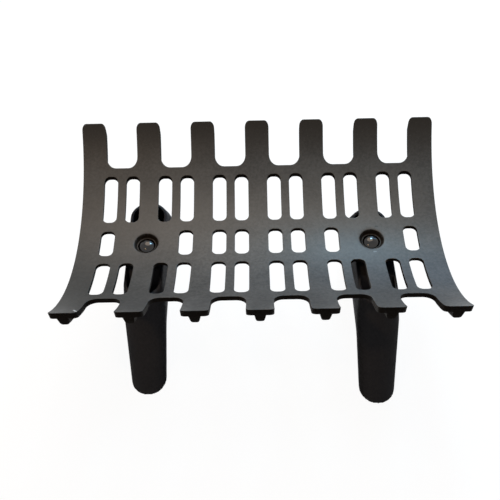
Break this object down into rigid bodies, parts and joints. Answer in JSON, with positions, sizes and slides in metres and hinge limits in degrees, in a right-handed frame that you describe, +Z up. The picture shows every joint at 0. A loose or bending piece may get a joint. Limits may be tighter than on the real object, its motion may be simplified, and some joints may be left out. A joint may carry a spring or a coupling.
{
  "type": "log grate",
  "caption": "Cast-iron fireplace log grate: a curved slotted cradle with upturned fingers front and rear, standing on two bolted, splayed legs.",
  "frame": {"origin": "on the floor, under the middle of the grate", "axes": "+X to the right along the grate's width, +Y to the rear, +Z up"},
  "size_m": [0.5588, 0.39, 0.2535],
  "materials": {
    "grate_iron": "as-cast, black, semi-gloss, fine sand-cast grain",
    "leg_iron": "as-cast, black, semi-gloss",
    "fastener_steel": "blackened, glossy"
  },
  "bodies": {
    "root": {"grate": "grate_iron", "leg_left": "leg_iron", "leg_right": "leg_iron", "bolt_left": "fastener_steel", "bolt_right": "fastener_steel", "washer_left": "fastener_steel", "washer_right": "fastener_steel", "nut_left": "fastener_steel", "nut_right": "fastener_steel"}
  },
  "joints": []
}
